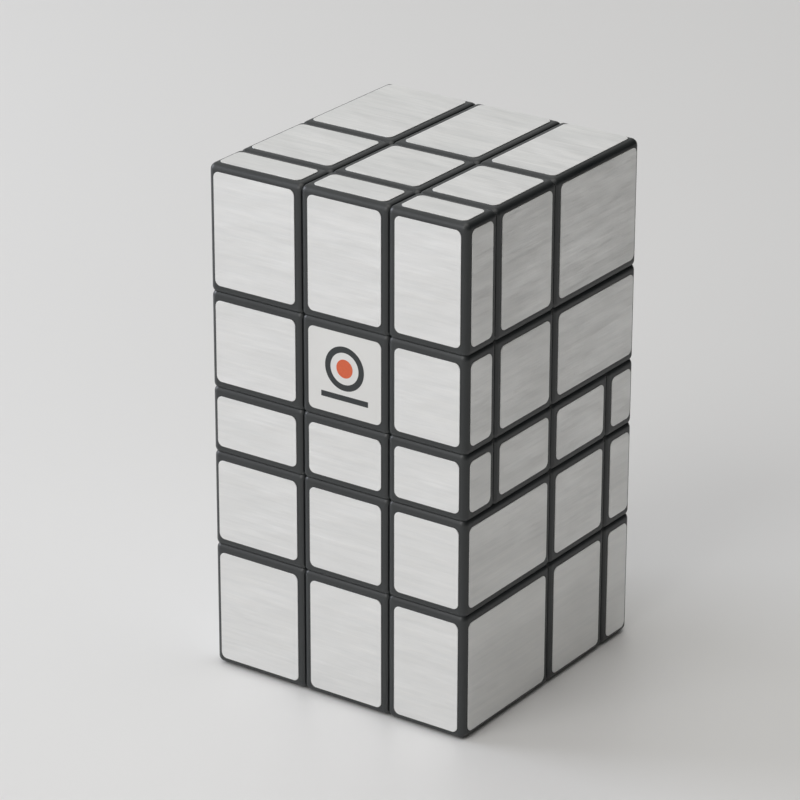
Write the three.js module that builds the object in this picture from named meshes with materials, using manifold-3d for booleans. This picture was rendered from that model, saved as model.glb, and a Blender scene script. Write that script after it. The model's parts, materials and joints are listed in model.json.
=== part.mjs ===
// A mirror block puzzle of 3 x 3 x 5 layers, built as two 3 x 3 x 3 turning puzzles that stand one on the
// other and share a fused block of 3 x 2 x 1 pieces. Each puzzle has its own six-armed core. A centre piece
// is screwed to each arm with a spring under the screw's head. Centres hold the edge pieces by their feet,
// and edges hold the corner pieces. The cores are one layer pitch apart in Y, so the thick and thin layers
// swap sides between the two puzzles, and together they still close into one plain block.
//
// Frame: millimetres, +Z up, origin at the centre of the base. -Y is the front, +X the right-hand side.

import * as THREE from "three";
import { ConvexGeometry } from "three/addons/geometries/ConvexGeometry.js";
import { mergeVertices } from "three/addons/utils/BufferGeometryUtils.js";
import Module from "manifold-3d";

const wasm = await Module();
wasm.setup();

// ---- Driving dimensions -------------------------------------------------------------------------------

const WIDTH = 57; // side of the square footprint
const PITCH = 19; // every middle layer, and the distance between the two cores in Y
const LEFT_LAYER = 21; // the left-hand layer; the right-hand one takes the rest of the width
const THIN_LAYER = 9.5; // front layer of the upper puzzle and back layer of the lower one
const END_LAYER = 25; // top and bottom layers
const SHARED_LAYER = 13; // the layer that both puzzles share

const GAP = 0.3; // clearance between neighbouring pieces
const CHAMFER = 0.7; // stands for the rounding of a piece's edges

// The joint surfaces inside, as radii from a core's centre and angles from a turning axis.
const BALL_RADIUS = 12.6; // the hollow round the core
const FOOT_RADIUS = 18; // top of the feet
const FOOT_ANGLE = THREE.MathUtils.degToRad(69);
const NECK_ANGLE = THREE.MathUtils.degToRad(62);
const OVERRUN = 3; // how far a foot's solid runs on into its own block

// Core, screws and springs, as distances along an arm.
const HUB_RADIUS = 6.2;
const ARM_RADIUS = 3.2;
const ARM_END = 9;
const PILOT_START = 4.6;
const STEM_RADIUS = 4.2;
const STEM_END = ARM_END + GAP;
const STEM_FLOOR = 2;
const SHANK_RADIUS = 1.4;
const SHANK_START = 5;
const SPRING_RADIUS = 2.6;
const SPRING_BORE_RADIUS = 1.9;
const HEAD_RADIUS = 2.7;
const HEAD_START = 16;
const HEAD_END = 17.2;
const HOLE_RADIUS = SHANK_RADIUS + GAP;
const BORE_RADIUS = HEAD_RADIUS + GAP;
const BORE_END = HEAD_END + GAP;

// Facets round a full circle.
const CONE_FACETS = 24;
const ROD_FACETS = 8;
const BALL_FACETS = 16;

// ---- Layout worked out from the driving dimensions ----------------------------------------------------

const HALF = PITCH / 2;
const SIDE = WIDTH / 2;
const HEIGHT = 2 * (END_LAYER + PITCH) + SHARED_LAYER;
const CORE_X = -SIDE + LEFT_LAYER + HALF;
const LOWER_CORE = new THREE.Vector3(CORE_X, HALF, END_LAYER + HALF);
const UPPER_CORE = new THREE.Vector3(CORE_X, -HALF, HEIGHT - END_LAYER - HALF);

const AXES = ["x", "y", "z"];
const PLACE_WORDS = { x: ["left", "", "right"], y: ["front", "", "back"], z: ["bottom", "", "top"] };

// The outer faces of each puzzle, measured from its core: [low side, high side] on each axis.
const UPPER_REACH = {
  x: [-(LEFT_LAYER + HALF), WIDTH - LEFT_LAYER - HALF],
  y: [-(THIN_LAYER + HALF), WIDTH - THIN_LAYER - HALF],
  z: [-(SHARED_LAYER + HALF - GAP / 2), END_LAYER + HALF],
};
const LOWER_REACH = {
  x: UPPER_REACH.x,
  y: [-UPPER_REACH.y[1], -UPPER_REACH.y[0]],
  z: [-UPPER_REACH.z[1], -UPPER_REACH.z[0]],
};

// ---- Materials ----------------------------------------------------------------------------------------

const blackPlastic = new THREE.MeshStandardMaterial({ color: 0x23282a, roughness: 0.42, metalness: 0 });
const whitePlastic = new THREE.MeshStandardMaterial({ color: 0xd8d8d2, roughness: 0.5, metalness: 0 });
const steel = new THREE.MeshStandardMaterial({ color: 0xb9bcbe, roughness: 0.3, metalness: 1 });

// ---- From geometry to solids and back -----------------------------------------------------------------

// A closed three.js geometry as a solid. Triangles that collapse on a lathe's axis are dropped.
function solidOf(geometry) {
  const bare = new THREE.BufferGeometry().setAttribute("position", geometry.getAttribute("position"));
  bare.setIndex(geometry.index);
  const merged = mergeVertices(bare, 1e-4);
  const corners = merged.index.array;
  const triVerts = [];
  for (let i = 0; i < corners.length; i += 3) {
    const [a, b, c] = corners.slice(i, i + 3);
    if (a !== b && b !== c && c !== a) triVerts.push(a, b, c);
  }
  return new wasm.Manifold(
    new wasm.Mesh({
      numProp: 3,
      vertProperties: merged.getAttribute("position").array,
      triVerts: new Uint32Array(triVerts),
    }),
  );
}

function geometryOf(solid) {
  const mesh = solid.getMesh();
  return new THREE.BufferGeometry()
    .setAttribute("position", new THREE.BufferAttribute(mesh.vertProperties, 3))
    .setIndex(new THREE.BufferAttribute(mesh.triVerts, 1));
}

function namedMesh(name, geometry, material) {
  const mesh = new THREE.Mesh(geometry, material);
  mesh.name = name;
  return mesh;
}

const UP = new THREE.Vector3(0, 1, 0);

// The unit vector of an axis, such as "y", on its low (-1) or high (+1) side.
function direction(axis, side) {
  const along = new THREE.Vector3();
  along[axis] = side;
  return along;
}

// A closed profile of [radius, height] points, turned about the arm that points in the given direction.
function turned(profile, along, facets) {
  const points = profile.map(([radius, height]) => new THREE.Vector2(radius, height));
  const lathe = new THREE.LatheGeometry(points, facets);
  return lathe.applyQuaternion(new THREE.Quaternion().setFromUnitVectors(UP, along));
}

// A rod along an arm, from one distance to another.
function rod(radius, start, end, along) {
  const profile = [[0, start], [radius, start], [radius, end], [0, end]];
  return solidOf(turned(profile, along, ROD_FACETS));
}

// A box between two corners with all its edges cut at 45 degrees: the hull of its six shrunken faces.
function chamferedBox(low, high) {
  const points = [];
  for (const flat of AXES) {
    for (const x of [low.x, high.x]) {
      for (const y of [low.y, high.y]) {
        for (const z of [low.z, high.z]) {
          const point = new THREE.Vector3(x, y, z);
          for (const axis of AXES) {
            const inward = point[axis] === low[axis] ? CHAMFER : -CHAMFER;
            if (axis !== flat) point[axis] += inward;
          }
          points.push(point);
        }
      }
    }
  }
  return solidOf(new ConvexGeometry(points));
}

// ---- The turning mechanism ----------------------------------------------------------------------------

// The point of a cone's side at a radius from the core, with the cone's tip moved along its axis.
function onCone(angle, tip, radius) {
  const length = -tip * Math.cos(angle) + Math.sqrt(radius ** 2 - (tip * Math.sin(angle)) ** 2);
  return [length * Math.sin(angle), tip + length * Math.cos(angle)];
}

// The space that one face's layer sweeps round the core as it turns: a wide cone under the feet, a step in
// to a narrower cone at the necks, and a wall. A positive margin shrinks it and a negative one grows it.
function layerCone(along, margin, end) {
  const plane = HALF + margin;
  const rim = (plane - margin) * Math.tan(NECK_ANGLE);
  const profile = [
    [0, margin],
    onCone(FOOT_ANGLE, margin, FOOT_RADIUS - margin),
    onCone(NECK_ANGLE, margin, FOOT_RADIUS - margin),
    [rim, plane],
    [rim, end],
    [0, end],
  ];
  return solidOf(turned(profile, along, CONE_FACETS));
}

const ownCones = new Map();
const otherCones = new Map();
for (const axis of AXES) {
  for (const side of [-1, 1]) {
    const along = direction(axis, side);
    ownCones.set(axis + side, layerCone(along, GAP / 2, HALF + OVERRUN));
    otherCones.set(axis + side, layerCone(along, -GAP / 2, HALF + PITCH / 2));
  }
}
const ball = solidOf(new THREE.SphereGeometry(BALL_RADIUS, BALL_FACETS, BALL_FACETS / 2));

// The stem that joins a centre piece to its arm, and the room inside it for the screw and its spring.
function withStem(block, along, boreEnd) {
  return block
    .add(rod(STEM_RADIUS, STEM_END, BALL_RADIUS + 1, along))
    .subtract(rod(HOLE_RADIUS, STEM_END - 1, STEM_END + STEM_FLOOR + 1, along))
    .subtract(rod(BORE_RADIUS, STEM_END + STEM_FLOOR, boreEnd, along));
}

// One centre, edge or corner piece. place holds -1, 0 or 1 for each axis, and reach the outer faces.
function cubie(place, reach) {
  const low = new THREE.Vector3();
  const high = new THREE.Vector3();
  for (const axis of AXES) {
    const outward = place[axis];
    low[axis] = outward < 0 ? reach[axis][0] : outward > 0 ? HALF + GAP / 2 : -HALF + GAP / 2;
    high[axis] = outward > 0 ? reach[axis][1] : outward < 0 ? -HALF - GAP / 2 : HALF - GAP / 2;
  }
  let foot = null;
  for (const axis of AXES.filter((a) => place[a] !== 0)) {
    const cone = ownCones.get(axis + place[axis]);
    foot = foot ? foot.intersect(cone) : cone;
  }
  let piece = chamferedBox(low, high).add(foot).subtract(ball);
  const openAxes = AXES.filter((a) => place[a] === 0);
  if (openAxes.length === 2) {
    const axis = AXES.find((a) => place[a] !== 0);
    piece = withStem(piece, direction(axis, place[axis]), BORE_END);
  }
  for (const axis of openAxes) {
    piece = piece.subtract(otherCones.get(axis + "-1")).subtract(otherCones.get(axis + "1"));
  }
  return piece;
}

const PIECE_KINDS = ["core", "centre", "edge", "corner"];

// The piece's name from its place, such as upper_corner_top_front_left.
function cubieName(puzzle, place) {
  const words = ["z", "y", "x"].map((axis) => PLACE_WORDS[axis][place[axis] + 1]).filter(Boolean);
  return [puzzle, PIECE_KINDS[words.length], ...words].join("_");
}

// ---- Core and screws ----------------------------------------------------------------------------------

function core() {
  let hub = solidOf(new THREE.SphereGeometry(HUB_RADIUS, ROD_FACETS, ROD_FACETS / 2));
  let pilots = null;
  for (const axis of AXES) {
    for (const side of [-1, 1]) {
      const along = direction(axis, side);
      const pilot = rod(HOLE_RADIUS, PILOT_START, ARM_END + 1, along);
      hub = hub.add(rod(ARM_RADIUS, 0, ARM_END, along));
      pilots = pilots ? pilots.add(pilot) : pilot;
    }
  }
  return hub.subtract(pilots);
}

// A screw with its spring, which stands as a sleeve of the coil's outer size under the head.
function screwAndSpring(along) {
  const profile = [
    [0, SHANK_START],
    [SHANK_RADIUS, SHANK_START],
    [SHANK_RADIUS, HEAD_START],
    [SPRING_BORE_RADIUS, HEAD_START],
    [SPRING_BORE_RADIUS, STEM_END + STEM_FLOOR + GAP],
    [SPRING_RADIUS, STEM_END + STEM_FLOOR + GAP],
    [SPRING_RADIUS, HEAD_START],
    [HEAD_RADIUS, HEAD_START],
    [HEAD_RADIUS, HEAD_END],
    [0, HEAD_END],
  ];
  return geometryOf(solidOf(turned(profile, along, ROD_FACETS)));
}

// ---- The shared block ---------------------------------------------------------------------------------

// A square bar turned to 45 degrees, whose lower corner cuts a V groove as deep as two chamfers make.
function grooveCutter(axis, length) {
  const size = new THREE.Vector3(1, 1, 1).multiplyScalar((CHAMFER + GAP / 2) * Math.SQRT2);
  size[axis] = length;
  const bar = new THREE.BoxGeometry(size.x, size.y, size.z);
  return bar.applyQuaternion(new THREE.Quaternion().setFromAxisAngle(direction(axis, 1), Math.PI / 4));
}

// Six pieces of the shared layer as one moulding: the lower puzzle's top front and top middle rows, which
// are also the upper puzzle's bottom middle and bottom back rows. It has a bowl and a stem for each core.
function sharedBlock() {
  const low = new THREE.Vector3(-SIDE, -PITCH + GAP / 2, END_LAYER + PITCH + GAP / 2);
  const high = new THREE.Vector3(SIDE, PITCH - GAP / 2, HEIGHT - END_LAYER - PITCH - GAP / 2);
  const middle = low.clone().add(high).multiplyScalar(0.5);
  let block = chamferedBox(low, high);

  // Grooves between the joined pieces, on the outside and on the two turning faces.
  const cuts = [];
  for (const x of [low.x, high.x]) cuts.push(["z", x, 0, middle.z]);
  for (const z of [low.z, high.z]) {
    cuts.push(["x", 0, 0, z]);
    for (const x of [CORE_X - HALF, CORE_X + HALF]) cuts.push(["y", x, 0, z]);
  }
  for (const [axis, x, y, z] of cuts) {
    block = block.subtract(solidOf(grooveCutter(axis, 2 * WIDTH).translate(x, y, z)));
  }

  const joins = [
    { centre: UPPER_CORE, down: "z-1", turning: "y-1", arm: direction("z", -1) },
    { centre: LOWER_CORE, down: "z1", turning: "y1", arm: direction("z", 1) },
  ];
  const through = SHARED_LAYER + HALF + 1;
  for (const { centre, down, turning, arm } of joins) {
    block = block.translate(centre.clone().negate().toArray());
    block = block.add(ownCones.get(down)).subtract(ball).subtract(otherCones.get(turning));
    block = withStem(block, arm, through).translate(centre.toArray());
  }

  // The wide cones run past the two turning faces, so everything outside the footprint is trimmed away.
  const footprint = new THREE.BoxGeometry(high.x - low.x, high.y - low.y, HEIGHT);
  return block.intersect(solidOf(footprint.translate(middle.x, middle.y, middle.z)));
}

// ---- Assembly -----------------------------------------------------------------------------------------

// One puzzle round its core. sharedPlaces says which places belong to the shared block.
function puzzle(name, centre, reach, isShared) {
  const group = new THREE.Group();
  group.position.copy(centre);
  group.add(namedMesh(name + "_core", geometryOf(core()), whitePlastic));
  for (const z of [-1, 0, 1]) {
    for (const y of [-1, 0, 1]) {
      for (const x of [-1, 0, 1]) {
        const place = { x, y, z };
        const faces = Math.abs(x) + Math.abs(y) + Math.abs(z);
        if (faces === 1) {
          const along = new THREE.Vector3(x, y, z);
          const label = cubieName(name, place).replace("centre", "screw");
          group.add(namedMesh(label, screwAndSpring(along), steel));
        }
        if (faces > 0 && !isShared(place)) {
          group.add(namedMesh(cubieName(name, place), geometryOf(cubie(place, reach)), blackPlastic));
        }
      }
    }
  }
  return group;
}

const mirrorBlocks = new THREE.Group();
mirrorBlocks.add(puzzle("upper", UPPER_CORE, UPPER_REACH, ({ y, z }) => z < 0 && y > -1));
mirrorBlocks.add(puzzle("lower", LOWER_CORE, LOWER_REACH, ({ y, z }) => z > 0 && y < 1));
mirrorBlocks.add(namedMesh("shared_block", geometryOf(sharedBlock()), blackPlastic));

export default mirrorBlocks;
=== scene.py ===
# %% [markdown]
# # A tall mirror block puzzle
# The object is a turning puzzle of black moulded blocks, every outer face of which carries a brushed
# silver foil. It is really two 3 x 3 x 3 puzzles, one on the other, that share a fused piece of the layer
# where they meet. All blocks sit on one regular turning grid, and only their outer faces lie at different
# distances from the two cores, which is why the puzzle changes its outline as it turns.
#
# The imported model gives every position. This script gives each block its rounded edges, each face its
# foil, and each core its screws, springs and washers. Everything is in metres.

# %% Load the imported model
import json
import math

import bmesh
import bpy
import numpy as np
from mathutils import Matrix, Vector


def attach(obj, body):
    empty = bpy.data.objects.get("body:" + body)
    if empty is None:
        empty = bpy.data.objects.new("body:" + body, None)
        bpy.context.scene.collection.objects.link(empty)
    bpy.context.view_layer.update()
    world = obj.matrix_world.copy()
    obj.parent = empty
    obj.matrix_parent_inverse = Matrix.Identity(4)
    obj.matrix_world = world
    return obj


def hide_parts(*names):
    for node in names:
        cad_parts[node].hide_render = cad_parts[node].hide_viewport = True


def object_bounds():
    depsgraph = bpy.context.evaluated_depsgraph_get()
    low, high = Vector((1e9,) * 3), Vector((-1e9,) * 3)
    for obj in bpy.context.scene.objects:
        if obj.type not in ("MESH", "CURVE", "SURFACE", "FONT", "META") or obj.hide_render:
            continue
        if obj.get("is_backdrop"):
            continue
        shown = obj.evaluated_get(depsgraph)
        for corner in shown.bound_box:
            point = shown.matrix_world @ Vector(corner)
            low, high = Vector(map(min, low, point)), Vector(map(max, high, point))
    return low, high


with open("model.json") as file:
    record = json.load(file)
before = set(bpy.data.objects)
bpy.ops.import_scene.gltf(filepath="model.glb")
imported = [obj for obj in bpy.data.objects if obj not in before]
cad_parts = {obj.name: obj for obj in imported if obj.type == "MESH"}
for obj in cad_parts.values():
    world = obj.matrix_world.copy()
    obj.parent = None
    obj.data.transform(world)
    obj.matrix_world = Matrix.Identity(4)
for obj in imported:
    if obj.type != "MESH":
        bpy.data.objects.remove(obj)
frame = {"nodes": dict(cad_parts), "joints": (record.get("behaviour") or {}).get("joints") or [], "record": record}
cad_low, cad_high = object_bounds()
MM = 0.001
print("model box in mm:", [round(c / MM, 2) for c in (*cad_low, *cad_high)])

# %% [markdown]
# ## The turning grid
# Each puzzle turns about its own core, and the model's joints pass through the two cores. The cores are
# one layer pitch apart in Y, so the pitch, the cut planes and the outer faces all follow from the joints
# and from the model's box. A block's place is -1, 0 or 1 along each axis, seen from its own core.

# %% Cores, cut planes and outer faces
JOINT_PLACES = {joint["name"]: Vector(joint["pos_m"]) for joint in frame["joints"]}
CORES = {"upper": JOINT_PLACES["upper_equator_turn"], "lower": JOINT_PLACES["lower_equator_turn"]}
PITCH = CORES["lower"].y - CORES["upper"].y
HALF = PITCH / 2
GAP = 0.3 * MM
SEAM = 0.03 * MM  # what shows between two blocks, where the rounded edges meet
FOIL_THICKNESS = 0.12 * MM
EDGE_RADIUS = 1.35 * MM
EDGE_TURN = math.radians(45)  # how far an edge's arc turns before it meets a neighbour's

# The layer that the puzzles share lies between these two turning planes.
SHARED_LOW = CORES["lower"].z + HALF
SHARED_HIGH = CORES["upper"].z - HALF


def cell_of(puzzle, place):
    """Lowest and highest corner of a place's cell: the interval it takes between a puzzle's four planes."""
    core = CORES[puzzle]
    bottom = SHARED_LOW if puzzle == "upper" else cad_low.z
    top = cad_high.z if puzzle == "upper" else SHARED_HIGH
    reach = ((cad_low.x, cad_high.x), (cad_low.y, cad_high.y), (bottom, top))
    intervals = []
    for axis in range(3):
        planes = (reach[axis][0], core[axis] - HALF, core[axis] + HALF, reach[axis][1])
        intervals.append(planes[place[axis] + 1 : place[axis] + 3])
    low, high = np.array(intervals).T
    return low, high


def shared_cell(place):
    """A cell of the shared block, by its place in the lower puzzle, cut off where the upper puzzle turns."""
    low, high = cell_of("lower", place)
    low[1] = max(low[1], CORES["upper"].y - HALF)
    return low, high


def outer_sides(low, high):
    """Which of a cell's low and high faces lie on the outside of the whole puzzle."""
    return np.abs(low - np.array(cad_low)) < SEAM, np.abs(high - np.array(cad_high)) < SEAM


print("pitch %.1f mm, shared layer %.1f mm" % (PITCH / MM, (SHARED_HIGH - SHARED_LOW) / MM))

# %% The blocks of each puzzle
PLACE_WORDS = (("left", "", "right"), ("front", "", "back"), ("bottom", "", "top"))
BLOCK_KINDS = ("core", "centre", "edge", "corner")


def block_name(puzzle, place):
    """The model's name for a block, from its place: upper_corner_top_front_left, for one."""
    words = [PLACE_WORDS[axis][place[axis] + 1] for axis in (2, 1, 0)]
    words = [word for word in words if word]
    return "_".join([puzzle, BLOCK_KINDS[len(words)], *words])


def all_places():
    steps = (-1, 0, 1)
    return [(x, y, z) for z in steps for y in steps for x in steps if (x, y, z) != (0, 0, 0)]


BLOCKS = [
    (puzzle, place)
    for puzzle in CORES
    for place in all_places()
    if block_name(puzzle, place) in frame["nodes"]
]
SHARED_PLACES = {
    puzzle: [place for place in all_places() if (puzzle, place) not in BLOCKS] for puzzle in CORES
}
BODIES = frame["record"]["behaviour"]["bodies"]
BODY_OF_NODE = {node: body for body, nodes in BODIES.items() for node in nodes}
print(len(BLOCKS), "separate blocks, and", len(SHARED_PLACES["upper"]), "places in the shared block")

# %% [markdown]
# ## The camera
# A long lens from the front right, a little above the puzzle. The camera turns by its heading, then its
# tilt, then a very small roll, and it looks straight through the middle of the picture.

# %% Camera
CAMERA_PLACE = Vector((0.3813, -0.5553, 0.3368))
CAMERA_HEADING = math.radians(34.87)
CAMERA_TILT = math.radians(22.97)
CAMERA_ROLL = math.radians(0.105)
CAMERA_LENS = 175.7  # mm, on a sensor 36 mm wide

camera = bpy.data.objects.new("camera", bpy.data.cameras.new("camera"))
bpy.context.scene.collection.objects.link(camera)
camera.data.lens = CAMERA_LENS
camera.data.sensor_width = 36
camera.matrix_world = (
    Matrix.Translation(CAMERA_PLACE)
    @ Matrix.Rotation(CAMERA_HEADING, 4, "Z")
    @ Matrix.Rotation(math.pi / 2 - CAMERA_TILT, 4, "X")
    @ Matrix.Rotation(CAMERA_ROLL, 4, "Z")
)
bpy.context.scene.camera = camera
print("camera", round(CAMERA_PLACE.length, 3), "m from the base")

# %% [markdown]
# ## From arrays to meshes
# Every surface below is worked out as a numpy array of points. Two kinds of helper turn arrays into
# meshes: one takes a grid of points, the other a list of points and faces. Blocks are then joined and
# carved by the Boolean modifier, which is applied at once, so that a finished block is a plain mesh.

# %% Mesh helpers
def tidy(mesh, merge=1e-7):
    """Merges points that coincide, drops the faces that vanish, and turns all faces outwards."""
    work = bmesh.new()
    work.from_mesh(mesh)
    bmesh.ops.remove_doubles(work, verts=work.verts, dist=merge)
    bmesh.ops.dissolve_degenerate(work, edges=work.edges, dist=merge)
    bmesh.ops.recalc_face_normals(work, faces=work.faces)
    work.to_mesh(mesh)
    work.free()
    return mesh


def mesh_from(points, faces):
    mesh = bpy.data.meshes.new("surface")
    mesh.from_pydata(np.asarray(points).reshape(-1, 3).tolist(), [], [list(face) for face in faces])
    return tidy(mesh)


def grid_faces(rows, columns, wrap=True):
    """The quads of a grid of points, whose last column may join up with its first."""
    index = np.arange(rows * columns).reshape(rows, columns)
    if wrap:
        index = np.hstack([index, index[:, :1]])
    quads = np.stack([index[:-1, :-1], index[:-1, 1:], index[1:, 1:], index[1:, :-1]], axis=-1)
    return quads.reshape(-1, 4).tolist()


def combined(mesh, operation, other):
    """The union, difference or intersection of two closed meshes, as a new mesh."""
    work = bpy.data.objects.new("work", mesh)
    tool = bpy.data.objects.new("tool", other)
    for item in (work, tool):
        bpy.context.scene.collection.objects.link(item)
    boolean = work.modifiers.new("boolean", "BOOLEAN")
    boolean.operation = operation
    boolean.solver = "MANIFOLD"
    boolean.object = tool
    depsgraph = bpy.context.evaluated_depsgraph_get()
    result = bpy.data.meshes.new_from_object(work.evaluated_get(depsgraph))
    for item in (work, tool):
        bpy.data.objects.remove(item)
    return result


def moved(mesh, offset):
    copy = mesh.copy()
    copy.transform(Matrix.Translation(offset))
    return copy


def add_piece(name, mesh, body, material, replaces=None, smooth_angle=None):
    """Puts a finished mesh into the scene as a piece that rides on one of the model's bodies."""
    piece = bpy.data.objects.new(name, mesh)
    piece.data.name = name
    bpy.context.scene.collection.objects.link(piece)
    piece.data.materials.clear()
    piece.data.materials.append(material)
    if smooth_angle:
        piece.data.shade_smooth()
        piece.data.set_sharp_from_angle(angle=math.radians(smooth_angle))
        weighted = piece.modifiers.new("weighted normals", "WEIGHTED_NORMAL")
        weighted.keep_sharp = True
    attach(piece, body)
    if replaces:
        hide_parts(*replaces)
    return piece


# %% [markdown]
# ## Rounded boxes
# A moulded block has the same small radius on every edge. A sphere has just those corners: cut it into
# eight octants and pull them apart, and the strips that open up are the rounded edges and the flat faces.
# So each point of the box is the corner of a smaller box plus a unit direction times the radius, and the
# directions at the octants' borders are taken twice, once for each side.

# %% Rounded box
ROUND_STEPS = 6


def rounded_box(low, high, radius, steps=ROUND_STEPS):
    """point = inner corner of the octant + radius * direction, over longitude and latitude by octants."""
    low, high = np.asarray(low, float), np.asarray(high, float)
    quarter = np.linspace(0, math.pi / 2, steps + 1)
    longitude = (quarter[None, :] + np.arange(4)[:, None] * math.pi / 2).ravel()
    latitude = np.concatenate([quarter - math.pi / 2, quarter])
    sign_x = np.repeat([1, -1, -1, 1], steps + 1)
    sign_y = np.repeat([1, 1, -1, -1], steps + 1)
    sign_z = np.repeat([-1, 1], steps + 1)
    direction = np.stack(
        [
            np.cos(latitude)[:, None] * np.cos(longitude),
            np.cos(latitude)[:, None] * np.sin(longitude),
            np.broadcast_to(np.sin(latitude)[:, None], (len(latitude), len(longitude))),
        ],
        axis=-1,
    )
    side = np.stack(np.broadcast_arrays(sign_x, sign_y, sign_z[:, None]), axis=-1)
    inner = (high - low) / 2 - radius
    points = (low + high) / 2 + side * inner + radius * direction
    rows, columns = points.shape[:2]
    faces = grid_faces(rows, columns)
    corner = np.arange(4) * (steps + 1)
    faces.append((corner[::-1]).tolist())
    faces.append((corner + (rows - 1) * columns).tolist())
    return mesh_from(points, faces)


print("a rounded box has", len(rounded_box((0, 0, 0), (1, 1, 1), 0.1).polygons), "faces")

# %% [markdown]
# ## Solids of revolution
# The mechanism is all round about the turning axes: the ball hollow round the core, the cones that the
# feet and necks follow, the stems, screws and washers. Each is a profile of radius and height carried
# round an axis. The profile starts and ends on the axis, so the solid is closed.

# %% Turned solid
def turned(profile, axis=2, side=1, segments=64):
    """point = radius * (cos a, sin a) across the axis + height along it, over the profile and the turn."""
    radius, height = np.array(profile, float).T
    angle = np.linspace(0, 2 * math.pi, segments, endpoint=False)
    across, other = (axis + 1) % 3, (axis + 2) % 3
    points = np.zeros((len(radius), segments, 3))
    points[..., across] = radius[:, None] * np.cos(angle)
    points[..., other] = radius[:, None] * np.sin(angle)
    points[..., axis] = side * height[:, None]
    return mesh_from(points, grid_faces(len(radius), segments))


def rod(radius, start, end, axis, side, segments=32):
    return turned([(0, start), (radius, start), (radius, end), (0, end)], axis, side, segments)


def ball(radius, segments=48):
    """A half circle of latitude carried round the vertical axis."""
    latitude = np.linspace(-math.pi / 2, math.pi / 2, segments // 2 + 1)
    profile = np.stack([radius * np.cos(latitude), radius * np.sin(latitude)], axis=-1)
    profile[[0, -1], 0] = 0
    return turned(profile, segments=segments)


# %% [markdown]
# ## Feet, necks and cones
# When a layer turns, it sweeps a solid of revolution about its axis: flat outside, then a cone along the
# necks, a step, and a wider cone under the feet. A block keeps what lies inside the cones of its own
# layers and loses what lies inside the cones of the layers that pass it by. Two neighbours made from the
# same cones then always fit, with a small gap, whichever way the puzzle has been turned.

# %% Cones of the turning layers
BALL_RADIUS = 12.6 * MM
FOOT_RADIUS = 18 * MM
FOOT_ANGLE = math.radians(69)
NECK_ANGLE = math.radians(62)
OVERRUN = 3 * MM


def on_cone(angle, tip, radius):
    """The point of a cone's side at a radius from the core, when the tip lies a little along the axis."""
    length = -tip * math.cos(angle) + math.sqrt(radius**2 - (tip * math.sin(angle)) ** 2)
    return length * math.sin(angle), tip + length * math.cos(angle)


def layer_cone(axis, side, margin, end):
    plane = HALF + margin
    rim = HALF * math.tan(NECK_ANGLE)
    profile = [
        (0, margin),
        on_cone(FOOT_ANGLE, margin, FOOT_RADIUS - margin),
        on_cone(NECK_ANGLE, margin, FOOT_RADIUS - margin),
        (rim, plane),
        (rim, end),
        (0, end),
    ]
    return turned(profile, axis, side)


TURNS = [(axis, side) for axis in range(3) for side in (-1, 1)]
OWN_CONES = {turn: layer_cone(*turn, GAP / 2, HALF + OVERRUN) for turn in TURNS}
PASSING_CONES = {turn: layer_cone(*turn, -GAP / 2, PITCH) for turn in TURNS}
HOLLOW = ball(BALL_RADIUS)
print(len(TURNS), "turning layers per puzzle")

# %% [markdown]
# ## Moulded plastic
# The blocks are glossy black ABS with a faint grey-green cast. A new block is even, but handling polishes
# its rounded edges and leaves a fine haze on its flats. One node group finds the rounded edges: there the
# surface's normal lies along no axis, so its largest component drops below one. A second group gives the
# fine unevenness that every moulded surface has.

# %% Helpers for node trees
def new_group(name, inputs, outputs):
    """A shader node group with named sockets. inputs maps a name to a socket type and a value."""
    group = bpy.data.node_groups.new(name, "ShaderNodeTree")
    for label, (kind, value) in inputs.items():
        group.interface.new_socket(label, in_out="INPUT", socket_type=kind).default_value = value
    for label in outputs:
        group.interface.new_socket(label, in_out="OUTPUT", socket_type="NodeSocketFloat")
    return group, group.nodes.new("NodeGroupInput"), group.nodes.new("NodeGroupOutput")


def wire(tree, kind, inputs=None, **settings):
    """Adds a node, sets its properties, and fills each input with a value or another node's output."""
    node = tree.nodes.new(kind)
    for key, value in settings.items():
        setattr(node, key, value)
    for key, value in (inputs or {}).items():
        if isinstance(value, bpy.types.NodeSocket):
            tree.links.new(value, node.inputs[key])
        else:
            node.inputs[key].default_value = value
    return node


def math_node(tree, operation, first, second=0.0, clamp=False):
    settings = {"operation": operation, "use_clamp": clamp}
    return wire(tree, "ShaderNodeMath", {0: first, 1: second}, **settings).outputs[0]


def place_group(tree, group, **inputs):
    return wire(tree, "ShaderNodeGroup", inputs, node_tree=group)


def new_material(name, metallic=0.0, roughness=0.5, **constants):
    """A material with one Principled shader. Every constant is set on the shader's own socket."""
    material = bpy.data.materials.new(name)
    material.use_nodes = True
    shader = material.node_tree.nodes["Principled BSDF"]
    shader.inputs["Metallic"].default_value = metallic
    shader.inputs["Roughness"].default_value = roughness
    for label, value in constants.items():
        shader.inputs[label.replace("_", " ")].default_value = value
    return material, material.node_tree, shader


# %% Shared effects: rounded edges and uneven surface
def edge_mask_group():
    """Mask is 0 on flats and 1 where the normal lies along no axis, as on a rounded edge."""
    group, inputs, outputs = new_group("rounded edge mask", {"Softness": ("NodeSocketFloat", 0.1)}, ["Mask"])
    normal = wire(group, "ShaderNodeTexCoord").outputs["Normal"]
    parts = wire(group, "ShaderNodeSeparateXYZ", {0: normal}).outputs
    sizes = [math_node(group, "ABSOLUTE", part) for part in parts]
    largest = math_node(group, "MAXIMUM", math_node(group, "MAXIMUM", sizes[0], sizes[1]), sizes[2])
    fall = math_node(group, "SUBTRACT", 1.0, largest)
    mask = math_node(group, "DIVIDE", fall, inputs.outputs["Softness"], clamp=True)
    group.links.new(mask, outputs.inputs["Mask"])
    return group


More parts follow.
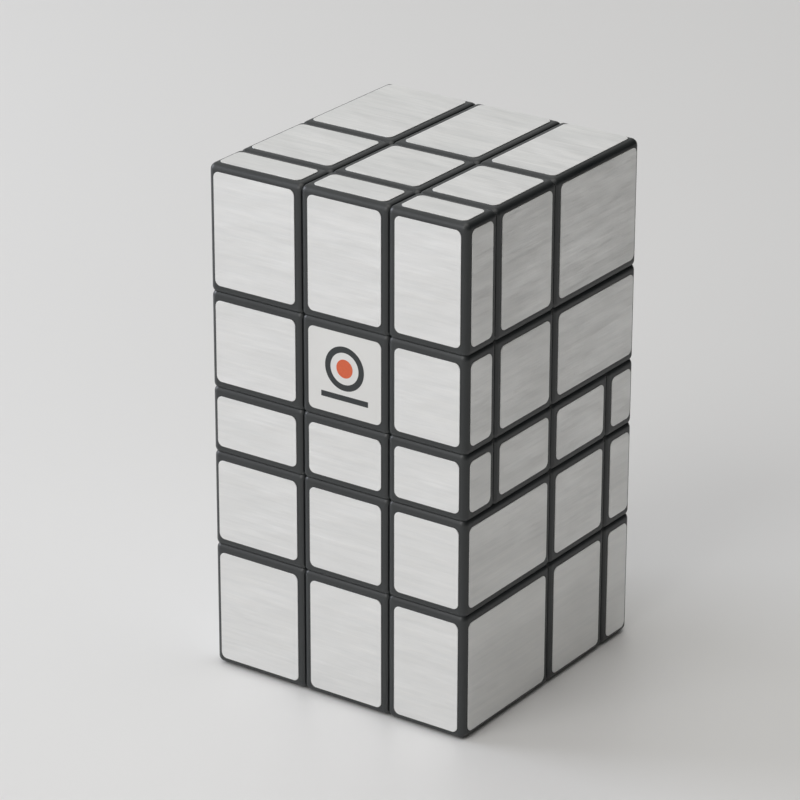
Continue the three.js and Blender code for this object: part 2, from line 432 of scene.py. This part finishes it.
def uneven_group():
    """Haze is a slow drift over centimetres, and Grain a fine noise over tenths of a millimetre."""
    sockets = {"Haze Scale": ("NodeSocketFloat", 60.0), "Grain Scale": ("NodeSocketFloat", 4000.0)}
    group, inputs, outputs = new_group("uneven surface", sockets, ["Haze", "Grain"])
    place = wire(group, "ShaderNodeTexCoord").outputs["Object"]
    for label, detail in (("Haze", 4.0), ("Grain", 2.0)):
        noise = wire(
            group,
            "ShaderNodeTexNoise",
            {"Vector": place, "Scale": inputs.outputs[label + " Scale"], "Detail": detail},
        )
        group.links.new(noise.outputs["Fac"], outputs.inputs[label])
    return group


EDGE_MASK = edge_mask_group()
UNEVEN = uneven_group()


NOISE_RANGE = (0.3, 0.7)  # nearly all of a noise's values lie between these


def remapped(tree, value, low, high, start=NOISE_RANGE[0], end=NOISE_RANGE[1]):
    """Takes a mask from start..end to low..high."""
    inputs = {"Value": value, "From Min": start, "From Max": end, "To Min": low, "To Max": high}
    return wire(tree, "ShaderNodeMapRange", inputs).outputs["Result"]


def mixed_color(tree, factor, first, second):
    """A colour between two, by a mask. A Mix node's sockets 6, 7 and out 2 are its colour ones."""
    inputs = {0: factor, 6: (*first, 1), 7: (*second, 1)}
    return wire(tree, "ShaderNodeMix", inputs, data_type="RGBA").outputs[2]


def bumped(tree, height, distance):
    return wire(tree, "ShaderNodeBump", {"Height": height, "Distance": distance}).outputs[0]


# %% Plastic materials
PLASTIC_IOR = 1.62
EDGE_SOFTNESS = 0.12
HAZE_ROUGHNESS = 0.04
GRAIN_HEIGHT = 0.004 * MM


def plastic_material(name, dark, light, roughness_flat, roughness_edge):
    """Moulded plastic: hazy flats, polished edges, and a fine grain in the surface."""
    material, tree, shader = new_material(name, IOR=PLASTIC_IOR)
    uneven = place_group(tree, UNEVEN)
    edges = place_group(tree, EDGE_MASK, Softness=EDGE_SOFTNESS)
    haze, grain = uneven.outputs["Haze"], uneven.outputs["Grain"]
    color = mixed_color(tree, remapped(tree, haze, 0, 1), dark, light)
    tree.links.new(color, shader.inputs["Base Color"])
    flat = remapped(tree, haze, roughness_flat - HAZE_ROUGHNESS, roughness_flat + HAZE_ROUGHNESS)
    change = math_node(tree, "MULTIPLY", edges.outputs["Mask"], roughness_edge - roughness_flat)
    tree.links.new(math_node(tree, "ADD", flat, change), shader.inputs["Roughness"])
    tree.links.new(bumped(tree, grain, GRAIN_HEIGHT), shader.inputs["Normal"])
    return material


BLACK_DARK = (0.0095, 0.0125, 0.0135)
BLACK_LIGHT = (0.0155, 0.0185, 0.0195)
BLACK_PLASTIC = plastic_material("black_plastic", BLACK_DARK, BLACK_LIGHT, 0.48, 0.4)
WHITE_DARK = (0.62, 0.62, 0.59)
WHITE_LIGHT = (0.7, 0.7, 0.67)
WHITE_PLASTIC = plastic_material("white_plastic", WHITE_DARK, WHITE_LIGHT, 0.5, 0.42)
print("materials:", [m.name for m in bpy.data.materials])

# %% [markdown]
# ## Brushed foil
# The foil is a metallised film with a straight grain. Its look has three scales: hair-fine scratches that
# spread a reflection across the grain, bands a millimetre or so wide that are slightly lighter or darker,
# and faint clouds where the film was pressed on. Each foil's UV map is in millimetres, with U along the
# grain and a start of its own, so that no two foils show the same piece of film.

# %% Brushed foil group and material
def brushed_group():
    """Noise stretched along U: Scratches are hair-fine, Bands are wide, and Clouds are hardly stretched."""
    sockets = {
        "Band Scale": ("NodeSocketFloat", 1.1),
        "Scratch Scale": ("NodeSocketFloat", 9.0),
        "Cloud Scale": ("NodeSocketFloat", 0.12),
    }
    group, inputs, outputs = new_group("brushed grain", sockets, ["Scratches", "Bands", "Clouds"])
    place = wire(group, "ShaderNodeUVMap", uv_map="grain").outputs["UV"]
    stretches = {"Scratches": (0.03, 1.0, 3.0), "Bands": (0.07, 1.0, 3.0), "Clouds": (0.45, 1.0, 2.0)}
    scales = {
        "Scratches": inputs.outputs["Scratch Scale"],
        "Bands": inputs.outputs["Band Scale"],
        "Clouds": inputs.outputs["Cloud Scale"],
    }
    for label, (along, across, detail) in stretches.items():
        stretched = wire(group, "ShaderNodeMapping", {"Vector": place, "Scale": (along, across, 1)})
        noise = wire(
            group,
            "ShaderNodeTexNoise",
            {"Vector": stretched.outputs[0], "Scale": scales[label], "Detail": detail, "Roughness": 0.55},
            noise_dimensions="2D",
        )
        group.links.new(noise.outputs["Fac"], outputs.inputs[label])
    return group


BRUSHED = brushed_group()
FOIL_DARK = (0.825, 0.83, 0.825)
FOIL_LIGHT = (0.86, 0.86, 0.85)
FOIL_ROUGHNESS = (0.52, 0.66)
RIDGE_HEIGHTS = {"Bands": 0.07, "Scratches": 0.003, "Clouds": 0.7}  # mm


def foil_material():
    material, tree, shader = new_material("brushed_foil", metallic=1.0)
    grain = place_group(tree, BRUSHED).outputs
    tree.links.new(
        mixed_color(tree, remapped(tree, grain["Bands"], 0, 1, 0.25, 0.75), FOIL_DARK, FOIL_LIGHT),
        shader.inputs["Base Color"],
    )
    tree.links.new(remapped(tree, grain["Clouds"], *FOIL_ROUGHNESS), shader.inputs["Roughness"])
    ridges = 0.0
    for label, height in RIDGE_HEIGHTS.items():
        ridges = math_node(tree, "ADD", ridges, math_node(tree, "MULTIPLY", grain[label], height))
    tree.links.new(bumped(tree, ridges, MM), shader.inputs["Normal"])
    return material


LABEL_DARK = (0.71, 0.71, 0.695)
LABEL_LIGHT = (0.76, 0.76, 0.745)


def printed_material():
    """A smooth white film with a slight grey mottle, under a clear gloss."""
    material, tree, shader = new_material("printed_label", roughness=0.38, Coat_Weight=0.2)
    haze = place_group(tree, UNEVEN).outputs["Haze"]
    color = mixed_color(tree, remapped(tree, haze, 0, 1), LABEL_DARK, LABEL_LIGHT)
    tree.links.new(color, shader.inputs["Base Color"])
    return material


def ink_material(name, color):
    """Screen-printed ink, a little uneven where the mesh laid it down."""
    material, tree, shader = new_material(name, roughness=0.45)
    grain = place_group(tree, UNEVEN, **{"Grain Scale": 2500.0}).outputs["Grain"]
    darker = tuple(0.85 * part for part in color)
    tree.links.new(mixed_color(tree, grain, darker, color), shader.inputs["Base Color"])
    return material


BRUSHED_FOIL = foil_material()
PRINTED_LABEL = printed_material()
DARK_INK = ink_material("dark_ink", (0.025, 0.03, 0.032))
ORANGE_INK = ink_material("orange_ink", (0.72, 0.13, 0.045))

# %% [markdown]
# ## Steel
# The screws, washers and springs are zinc-plated steel. Nobody sees them until the puzzle is taken apart,
# but they are what holds it together: the springs let the layers give a little as they turn.

# %% Steel material
STEEL_DARK = (0.45, 0.46, 0.47)
STEEL_LIGHT = (0.62, 0.63, 0.64)


def steel_material():
    material, tree, shader = new_material("steel", metallic=1.0)
    uneven = place_group(tree, UNEVEN, **{"Haze Scale": 400.0, "Grain Scale": 9000.0}).outputs
    color = mixed_color(tree, uneven["Haze"], STEEL_DARK, STEEL_LIGHT)
    tree.links.new(color, shader.inputs["Base Color"])
    tree.links.new(remapped(tree, uneven["Grain"], 0.22, 0.4, 0, 1), shader.inputs["Roughness"])
    return material


STEEL = steel_material()

# %% [markdown]
# ## The moulded blocks
# A block is its rounded box, plus a foot that reaches in towards the core, minus the hollow round the
# core and the cones of the layers that pass it by. The foils stand proud of the plastic, so the plastic's
# outer faces lie one foil's thickness inside the model's.

# %% Screw room in a centre
ARM_END = 9 * MM
STEM_RADIUS = 4.2 * MM
STEM_END = ARM_END + GAP
STEM_FLOOR = 2 * MM
HOLE_RADIUS = 1.7 * MM
BORE_RADIUS = 3 * MM
HEAD_START = 16 * MM
HEAD_END = 17.2 * MM


def with_stem(mesh, axis, side, bore_end):
    """Adds the stem that stands on the core's arm, with a hole for the screw and a bore for its spring."""
    floor = STEM_END + STEM_FLOOR
    mesh = combined(mesh, "UNION", rod(STEM_RADIUS, STEM_END, BALL_RADIUS + MM, axis, side))
    mesh = combined(mesh, "DIFFERENCE", rod(HOLE_RADIUS, STEM_END - MM, floor + MM, axis, side))
    return combined(mesh, "DIFFERENCE", rod(BORE_RADIUS, floor, bore_end, axis, side))


# %% A block's box and foot
CUT_RADIUS = 0.01 * MM  # of a box that only cuts, and stays almost sharp


def plastic_box(low, high):
    """A cell's plastic: an outer face leaves room for a foil, and any other leaves half a seam."""
    outer_low, outer_high = outer_sides(low, high)
    inset_low = np.where(outer_low, FOIL_THICKNESS, SEAM / 2)
    inset_high = np.where(outer_high, FOIL_THICKNESS, SEAM / 2)
    return low + inset_low, high - inset_high


def moulded_cell(low, high, shift=(0, 0, 0)):
    """A rounded box whose arcs stop short where it meets a neighbour: it is made larger on those sides by
    the part of the radius that the arc leaves out, then cut back to size by a plain box."""
    meets_low, meets_high = [~outer for outer in outer_sides(low, high)]
    low, high = plastic_box(low, high)
    low, high = low - np.array(shift), high - np.array(shift)
    spare = EDGE_RADIUS * (1 - math.sin(EDGE_TURN))
    larger = rounded_box(low - spare * meets_low, high + spare * meets_high, EDGE_RADIUS)
    clear = 2 * EDGE_RADIUS
    cut = rounded_box(low - clear * ~meets_low, high + clear * ~meets_high, CUT_RADIUS, steps=1)
    return combined(larger, "INTERSECT", cut)


def block_mesh(puzzle, place):
    core = CORES[puzzle]
    cell = moulded_cell(*cell_of(puzzle, place), shift=core)
    own = [(axis, place[axis]) for axis in range(3) if place[axis]]
    foot = OWN_CONES[own[0]]
    for turn in own[1:]:
        foot = combined(foot, "INTERSECT", OWN_CONES[turn])
    mesh = combined(cell, "UNION", foot)
    mesh = combined(mesh, "DIFFERENCE", HOLLOW)
    if len(own) == 1:
        mesh = with_stem(mesh, *own[0], HEAD_END + GAP)
    for turn in TURNS:
        if place[turn[0]] == 0:
            mesh = combined(mesh, "DIFFERENCE", PASSING_CONES[turn])
    return tidy(moved(mesh, core), merge=1e-6)


for puzzle, place in BLOCKS:
    node = block_name(puzzle, place)
    add_piece(
        node.replace(puzzle, puzzle + "_block", 1),
        block_mesh(puzzle, place),
        BODY_OF_NODE[node],
        BLACK_PLASTIC,
        replaces=[node],
        smooth_angle=40,
    )
print(len(BLOCKS), "moulded blocks")

# %% [markdown]
# ## The shared block
# Six places of the middle layer are fused: they are the lower puzzle's top front and top middle rows and
# at the same time the upper puzzle's bottom middle and bottom back rows. From outside they still look
# like six blocks, so each gets its own rounded box, and a plate inside joins them.

# %% Shared block
JOIN_INSET = 2.2 * MM
TRIM_RADIUS = 0.05 * MM


def shared_mesh():
    """Six rounded boxes and a joining plate, with a foot, a hollow and a stem for each core."""
    cells = [shared_cell(place) for place in SHARED_PLACES["lower"]]
    low = np.min([low for low, high in cells], axis=0)
    high = np.max([high for low, high in cells], axis=0)
    mesh = rounded_box(low + JOIN_INSET, high - JOIN_INSET, EDGE_RADIUS)
    for cell in cells:
        mesh = combined(mesh, "UNION", moulded_cell(*cell))
    # The wide cones run past the two turning faces, so a plain box as wide as the block trims them.
    low, high = plastic_box(low, high)
    beyond = np.array([0, 0, 2 * PITCH])
    trim = rounded_box(low - beyond, high + beyond, TRIM_RADIUS, steps=1)
    joins = (("upper", (2, -1), (1, -1)), ("lower", (2, 1), (1, 1)))
    through = SHARED_HIGH - SHARED_LOW + HALF + MM
    for puzzle, down, passing in joins:
        core = CORES[puzzle]
        foot = combined(moved(OWN_CONES[down], core), "INTERSECT", trim)
        mesh = moved(combined(mesh, "UNION", foot), -core)
        mesh = combined(mesh, "DIFFERENCE", HOLLOW)
        mesh = combined(mesh, "DIFFERENCE", PASSING_CONES[passing])
        mesh = moved(with_stem(mesh, *down, through), core)
    return tidy(mesh, merge=1e-6)


add_piece(
    "shared_block_moulding",
    shared_mesh(),
    BODY_OF_NODE["shared_block"],
    BLACK_PLASTIC,
    replaces=["shared_block"],
    smooth_angle=40,
)

# %% [markdown]
# ## Foils
# Every outer face of a block carries a foil with rounded corners, set in from the block's edges. A foil is
# a thin plate: its outline is carried up its cut edge, over a tiny bevel and in to a flat top. The grain
# runs level on the four sides and from left to right on the top and bottom.

# %% Foil surface
FOIL_INSET = 1.47 * MM
FOIL_CORNER = 1.15 * MM
FOIL_BEVEL = 0.02 * MM
grain_starts = np.random.default_rng(7)


def rounded_outline(width, height, radius, steps=8):
    """Points round a rectangle: each corner's centre plus the radius times a direction."""
    quarter = np.linspace(0, math.pi / 2, steps + 1)
    angle = (quarter[None, :] + np.arange(4)[:, None] * math.pi / 2).ravel()
    side = np.stack([np.repeat([1, -1, -1, 1], steps + 1), np.repeat([1, 1, -1, -1], steps + 1)], axis=-1)
    centre = side * (np.array([width, height]) / 2 - radius)
    return centre + radius * np.stack([np.cos(angle), np.sin(angle)], axis=-1)


def foil_mesh(middle, along, up, out, width, height):
    """The outline at three heights, each joined to the next, and closed above and below."""
    rings = [(0, -FOIL_THICKNESS), (0, -FOIL_BEVEL), (FOIL_BEVEL, 0)]
    points = []
    for inset, level in rings:
        outline = rounded_outline(width - 2 * inset, height - 2 * inset, FOIL_CORNER - inset)
        points.append(middle + outline[:, :1] * along + outline[:, 1:] * up + level * out)
    count = len(points[0])
    faces = grid_faces(len(rings), count)
    faces.append(list(range(count))[::-1])
    faces.append(list(range((len(rings) - 1) * count, len(rings) * count)))
    mesh = mesh_from(np.concatenate(points), faces)
    coords = np.zeros(len(mesh.vertices) * 3)
    mesh.vertices.foreach_get("co", coords)
    corner_vertex = np.zeros(len(mesh.loops), int)
    mesh.loops.foreach_get("vertex_index", corner_vertex)
    local = (coords.reshape(-1, 3) - middle) @ np.stack([along, up], axis=-1) / MM
    local = local + grain_starts.uniform(0, 500, 2)
    mesh.uv_layers.new(name="grain").data.foreach_set("uv", local[corner_vertex].ravel())
    return mesh


# %% A foil on every outer face
FACE_NAMES = {
    (0, -1): "left",
    (0, 1): "right",
    (1, -1): "front",
    (1, 1): "back",
    (2, -1): "bottom",
    (2, 1): "top",
}
LABEL_NODE = "upper_centre_front"
INK_THICKNESS = 0.02 * MM  # the label lies this much lower, so that its ink stays inside the model's box


def add_foil(cell_name, node, face, low, high, is_label):
    """Lays a foil on one outer face of a cell, and returns the middle of its outer surface."""
    axis, side = face
    out = np.eye(3)[axis] * side
    level = np.eye(3)[1 if axis == 0 else 0]
    rise = np.eye(3)[1 if axis == 2 else 2]
    size = high - low - 2 * FOIL_INSET
    middle = (low + high) / 2
    middle[axis] = cad_high[axis] if side > 0 else cad_low[axis]
    if is_label:
        middle -= INK_THICKNESS * out
    mesh = foil_mesh(middle, level, rise, out, size @ level, size @ rise)
    name = "_".join(["foil", cell_name, "on", FACE_NAMES[face]])
    material, slot = (PRINTED_LABEL, "printed_foil") if is_label else (BRUSHED_FOIL, "brushed_foil")
    add_piece(name, mesh, BODY_OF_NODE[node], material)
    return middle


cells = [(block_name(*block), block_name(*block), cell_of(*block)) for block in BLOCKS]
for place in SHARED_PLACES["lower"]:
    row = "shared_front" if place[1] < 0 else "shared_back"
    cells.append((row, "shared_block", shared_cell(place)))
foils = 0
for cell_name, node, (low, high) in cells:
    for side, outer in zip((-1, 1), outer_sides(low, high)):
        for axis in np.flatnonzero(outer).tolist():
            is_label = node == LABEL_NODE and (axis, side) == (1, -1)
            middle = add_foil(cell_name, node, (axis, side), low, high, is_label)
            foils += 1
            if is_label:
                label_middle = middle
print(foils, "foils")

# %% [markdown]
# ## The printed label
# One face carries a white printed label instead of brushed foil. Its mark here is a plain ring round a
# dot over a plain bar, printed in dark and orange ink, in place of the maker's own. Ink is a film of its
# own, so each shape is a thin raised plate: an outline carried up, over a bevel and in.

# %% Ring, dot and bar
INK_EDGE = 0.4 * INK_THICKNESS
RING_OUTER = 4.3 * MM
RING_INNER = 3.1 * MM
DOT_RADIUS = 1.8 * MM
RING_RISE = 1.2 * MM  # how far the ring's centre lies above the label's
BAR_SIZE = (10.4 * MM, 1.1 * MM)
BAR_DROP = 4.6 * MM


def ink_disc(outer, inner):
    """A flat plate of revolution about Y: profile of radius and height, closed on the axis or on itself."""
    sink = INK_THICKNESS / 2
    edge = INK_THICKNESS / 2
    profile = [(inner, -sink), (outer, -sink), (outer, edge), (outer - edge, INK_THICKNESS)]
    if inner:
        profile += [(inner + edge, INK_THICKNESS), (inner, edge), (inner, -sink)]
    else:
        profile += [(0, INK_THICKNESS)]
    return turned(profile, axis=1, side=-1, segments=96)


def ink_bar(width, height):
    half = np.array([width, INK_THICKNESS, height]) / 2
    proud = np.array([0, INK_THICKNESS / 2, 0])
    return rounded_box(-half - proud, half - proud, INK_EDGE, steps=1)


label_place = Vector(label_middle)
for name, mesh, height, ink in (
    ("label_ring", ink_disc(RING_OUTER, RING_INNER), RING_RISE, DARK_INK),
    ("label_dot", ink_disc(DOT_RADIUS, 0), RING_RISE, ORANGE_INK),
    ("label_bar", ink_bar(*BAR_SIZE), -BAR_DROP, DARK_INK),
):
    at = label_place + Vector((0, 0, height))
    add_piece(name, moved(mesh, at), BODY_OF_NODE[LABEL_NODE], ink)
print("label mark", 2 * RING_OUTER / MM, "mm across")

# %% [markdown]
# ## Cores, screws and springs
# A core is a small hub with six arms, moulded in white plastic. A screw runs through the stem of each
# centre into an arm. A spring pushes the stem's floor down and the screw's washer up. The spring's wire
# follows a helix that lies flat for most of a turn at each end, so that it stands square.

# %% Core
HUB_RADIUS = 6.2 * MM
ARM_RADIUS = 3.2 * MM
ARM_CHAMFER = 0.4 * MM
PILOT_START = 4.6 * MM


def core_mesh():
    mesh = ball(HUB_RADIUS, 40)
    for axis, side in TURNS:
        arm_profile = [
            (0, 0),
            (ARM_RADIUS, 0),
            (ARM_RADIUS, ARM_END - ARM_CHAMFER),
            (ARM_RADIUS - ARM_CHAMFER, ARM_END),
            (0, ARM_END),
        ]
        mesh = combined(mesh, "UNION", turned(arm_profile, axis, side, 40))
    for axis, side in TURNS:
        mesh = combined(mesh, "DIFFERENCE", rod(HOLE_RADIUS, PILOT_START, ARM_END + MM, axis, side, 24))
    return mesh


core = core_mesh()
for puzzle in CORES:
    add_piece(
        puzzle + "_core_hub",
        tidy(moved(core, CORES[puzzle]), merge=1e-6),
        BODY_OF_NODE[puzzle + "_core"],
        WHITE_PLASTIC,
        replaces=[puzzle + "_core"],
        smooth_angle=40,
    )

# %% Screw, washer and spring
SHANK_RADIUS = 1.4 * MM
SHANK_START = 5 * MM
HEAD_RADIUS = 2.7 * MM
THREAD_DEPTH = 0.22 * MM
THREAD_PITCH = 0.8 * MM
POINT_LENGTH = 0.6 * MM
POINT_RADIUS = 0.6 * SHANK_RADIUS
RIM_RADIUS = 0.5 * MM  # of the head's rounded rim
RECESS_WIDTH = 0.56 * MM
RECESS_LENGTH = 3 * MM
RECESS_DEPTH = 0.7 * MM
RECESS_RADIUS = 0.1 * MM
SPRING_FLOOR = STEM_END + STEM_FLOOR + GAP
WIRE_RADIUS = 0.3 * MM
COIL_RADIUS = 2.25 * MM
COILS = 4.5
FLAT_COILS = 0.75  # at each end
COIL_STEPS = 32
WIRE_SIDES = 10
WASHER = 0.4 * MM  # its thickness
WASHER_HOLE = SHANK_RADIUS + 0.15 * MM
WASHER_RADIUS = HEAD_RADIUS - 0.05 * MM


def screw_mesh(axis, side):
    """A threaded shank under a domed head with a cross recess."""
    rings = np.arange(int((STEM_END - SHANK_START - MM) / THREAD_PITCH * 2))
    heights = SHANK_START + POINT_LENGTH + rings * THREAD_PITCH / 2
    radii = SHANK_RADIUS - THREAD_DEPTH * (rings % 2)
    profile = [(0, SHANK_START), (POINT_RADIUS, SHANK_START), *zip(radii, heights)]
    profile += [(SHANK_RADIUS, STEM_END), (SHANK_RADIUS, HEAD_START), (HEAD_RADIUS, HEAD_START)]
    bend = np.linspace(0, math.pi / 2, 6)
    rim, top = HEAD_RADIUS - RIM_RADIUS, HEAD_END - RIM_RADIUS
    dome = zip(rim + RIM_RADIUS * np.cos(bend), top + RIM_RADIUS * np.sin(bend))
    profile += [*dome, (0, HEAD_END)]
    mesh = turned(profile, axis, side, 40)
    centre = np.zeros(3)
    centre[axis] = side * HEAD_END
    for across in (1, 2):
        half = np.full(3, RECESS_WIDTH / 2)
        half[axis] = RECESS_DEPTH
        half[(axis + across) % 3] = RECESS_LENGTH / 2
        slot = rounded_box(centre - half, centre + half, RECESS_RADIUS, steps=2)
        mesh = combined(mesh, "DIFFERENCE", slot)
    return mesh


def spring_mesh(axis, side):
    """wire centre = coil radius round the axis, level at both ends and rising with the turn in between; the
    wire's circle is carried along it in the plane of the axis and the outward direction."""
    steps = int(COILS * COIL_STEPS)
    angle = np.linspace(0, 2 * math.pi * COILS, steps)
    rise = np.clip((angle / (2 * math.pi) - FLAT_COILS) / (COILS - 2 * FLAT_COILS), 0, 1)
    low = SPRING_FLOOR + WIRE_RADIUS
    height = low + (HEAD_START - WASHER - WIRE_RADIUS - GAP / 3 - low) * rise
    outward = np.stack([np.cos(angle), np.sin(angle), np.zeros(steps)], axis=-1)
    section = np.linspace(0, 2 * math.pi, WIRE_SIDES, endpoint=False)
    centre = COIL_RADIUS * outward + height[:, None] * np.array([0, 0, 1])
    ring = np.cos(section)[None, :, None] * outward[:, None, :]
    ring = ring + np.sin(section)[None, :, None] * np.array([0, 0, 1])
    points = centre[:, None, :] + WIRE_RADIUS * ring
    order = [(axis + 1) % 3, (axis + 2) % 3, axis]
    placed = np.zeros_like(points)
    placed[..., order] = points * np.array([1, 1, side])
    faces = grid_faces(steps, len(section))
    faces.append(list(range(len(section))))
    faces.append(list(range((steps - 1) * len(section), steps * len(section)))[::-1])
    return mesh_from(placed, faces)


def washer_mesh(axis, side):
    low, high = HEAD_START - WASHER, HEAD_START
    corners = ((WASHER_HOLE, low), (WASHER_RADIUS, low), (WASHER_RADIUS, high), (WASHER_HOLE, high))
    profile = [*corners, corners[0]]
    return turned(profile, axis, side, 40)


for puzzle in CORES:
    for axis, side in TURNS:
        word = FACE_NAMES[(axis, side)]
        node = puzzle + "_screw_" + word
        for kind, make in (("screw", screw_mesh), ("spring", spring_mesh), ("washer", washer_mesh)):
            add_piece(
                "_".join(["steel", kind, puzzle, word]),
                moved(make(axis, side), CORES[puzzle]),
                BODY_OF_NODE[node],
                STEEL,
                replaces=[node] if kind == "screw" else None,
                smooth_angle=40,
            )
print("screws, springs and washers:", 3 * 2 * len(TURNS))

# %% [markdown]
# ## Studio
# A wide pale table under soft light. One large light stands in front and a smaller one on the left, so the
# puzzle's front is bright and its shadow falls softly to the right. A bright ceiling fills the shadow. The
# foils are rough mirrors, and what they mostly show is the table itself: the front foils see its bright
# part, and the right-hand foils see the shadow and the dark side of the room.

# %% Table
TABLE_SIZE = 6.0
TABLE_POINTS = 9  # along each side
TABLE_DARK = (0.70, 0.70, 0.695)
TABLE_LIGHT = (0.74, 0.74, 0.735)
TABLE_DROP = 0.02 * MM  # so that the table and the model's base don't share a plane


def table_material():
    material, tree, shader = new_material("table", roughness=0.45)
    haze = place_group(tree, UNEVEN, **{"Haze Scale": 3.0}).outputs["Haze"]
    tree.links.new(mixed_color(tree, haze, TABLE_DARK, TABLE_LIGHT), shader.inputs["Base Color"])
    return material


ticks = np.linspace(-TABLE_SIZE / 2, TABLE_SIZE / 2, TABLE_POINTS)
table_points = np.stack(np.meshgrid(ticks, ticks, [cad_low.z - TABLE_DROP], indexing="ij"), axis=-1)
table_mesh = bpy.data.meshes.new("table")
table_mesh.from_pydata(
    table_points.reshape(-1, 3).tolist(), [], grid_faces(len(ticks), len(ticks), wrap=False)
)
table = bpy.data.objects.new("table", tidy(table_mesh))
if table.data.polygons[0].normal.z < 0:
    table.data.flip_normals()
bpy.context.scene.collection.objects.link(table)
table.data.materials.append(table_material())
table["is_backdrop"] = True

# %% Lights and world
def add_light(name, place, aim, size, watts, color=(1, 1, 1)):
    """A square area light at a place, turned to face a point."""
    light = bpy.data.objects.new(name, bpy.data.lights.new(name, "AREA"))
    light.data.size = size
    light.data.energy = watts
    light.data.color = color
    light.location = Vector(place)
    light.rotation_euler = (Vector(aim) - Vector(place)).to_track_quat("-Z", "Y").to_euler()
    bpy.context.scene.collection.objects.link(light)
    return light


MIDDLE = (0, 0, 0.05)
add_light("front_light", (-0.2, -1.1, 0.9), MIDDLE, 0.9, 5.7)
add_light("left_light", (-0.9, -0.25, 0.45), MIDDLE, 0.5, 4.6, (0.95, 0.98, 1.07))


def room_glow(tree, aim, sharpness, color):
    """A soft patch of light in the room: colour * max(0, direction . aim) ** sharpness."""
    direction = wire(tree, "ShaderNodeTexCoord").outputs["Generated"]
    inputs = {0: direction, 1: Vector(aim).normalized()}
    cosine = wire(tree, "ShaderNodeVectorMath", inputs, operation="DOT_PRODUCT").outputs["Value"]
    amount = math_node(tree, "POWER", math_node(tree, "MAXIMUM", cosine, 0.0), sharpness)
    return wire(tree, "ShaderNodeVectorMath", {0: color, "Scale": amount}, operation="SCALE").outputs[0]


ROOM_GLOWS = (
    ((0, 0, 1), 8.0, (2.16, 2.11, 2.04)),  # the ceiling
    ((-1, 1, 0.5), 6.0, (0.835, 0.845, 0.84)),  # a window far behind on the left
    ((0, -1, 0), 2.0, (0.68, 0.66, 0.64)),  # the room behind the camera
)
world = bpy.data.worlds.new("studio")
bpy.context.scene.world = world
world.use_nodes = True
sky = world.node_tree
total = (0, 0, 0)
for glow in ROOM_GLOWS:
    inputs = {0: room_glow(sky, *glow), 1: total}
    total = wire(sky, "ShaderNodeVectorMath", inputs, operation="ADD").outputs[0]
sky.links.new(total, sky.nodes["Background"].inputs["Color"])
bpy.context.scene.view_settings.view_transform = "Standard"

# %% [markdown]
# ## Measure and finish
# The visual model is built to stay inside the model's box, and both boxes are printed: the model's near the start,
# and the visual model's here.

# %% Print the sizes
low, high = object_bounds()
print("visual box in mm:", [round(c / MM, 2) for c in (*low, *high)])
